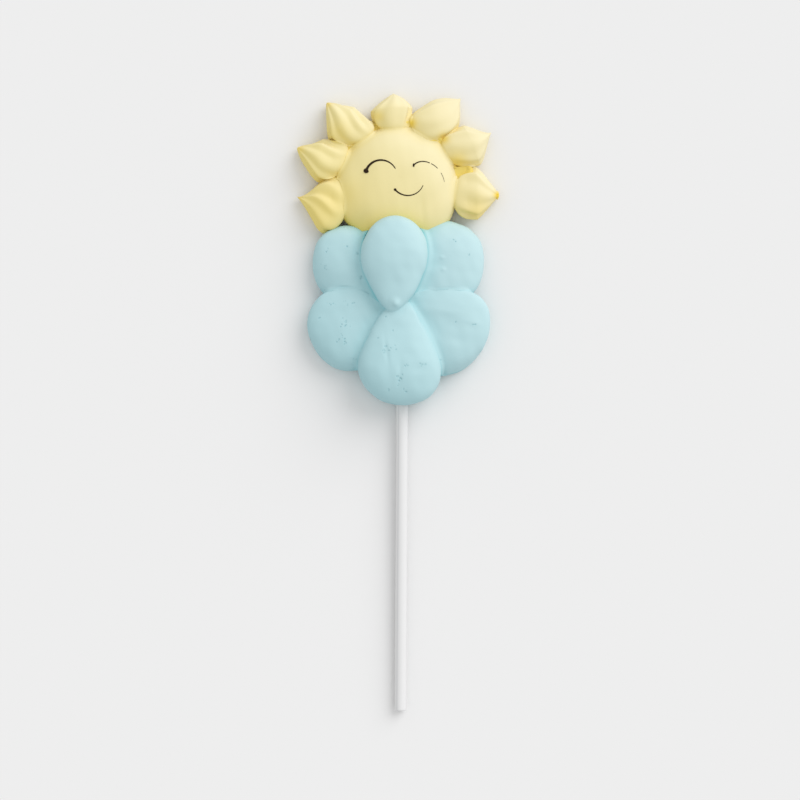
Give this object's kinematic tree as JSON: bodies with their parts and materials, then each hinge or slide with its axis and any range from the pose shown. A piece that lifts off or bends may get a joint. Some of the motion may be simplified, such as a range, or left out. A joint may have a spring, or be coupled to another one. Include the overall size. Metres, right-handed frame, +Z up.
{
  "type": "marshmallow lollipop",
  "caption": "Piped marshmallow lollipop lying face up: a smiling round sun with pointed rays behind a cloud of plump drops, on a straight paper stick.",
  "frame": {"origin": "on the table under the middle of the outer box of the lollipop as it lies face up", "axes": "+Y from the free end of the stick to the top ray, +X to the right as the smile is seen, +Z up out of the smile"},
  "size_m": [0.0693, 0.2112, 0.019],
  "materials": {
    "sun_marshmallow": "matt, pale yellow set marshmallow with a soft dusty skin",
    "cloud_marshmallow": "matt, pale blue set marshmallow with a soft dusty skin and fine pores",
    "face_icing": "dark brown icing, slightly glossy",
    "stick_paper": "smooth white rolled paper"
  },
  "bodies": {
    "root": {"stick": "stick_paper", "sun_disc": "sun_marshmallow", "ray_1": "sun_marshmallow", "ray_2": "sun_marshmallow", "ray_3": "sun_marshmallow", "ray_4": "sun_marshmallow", "ray_5": "sun_marshmallow", "ray_6": "sun_marshmallow", "ray_7": "sun_marshmallow", "drop_upper_left": "cloud_marshmallow", "drop_upper_right": "cloud_marshmallow", "drop_lower_left": "cloud_marshmallow", "drop_lower_right": "cloud_marshmallow", "drop_bottom": "cloud_marshmallow", "drop_front": "cloud_marshmallow"}
  },
  "joints": []
}
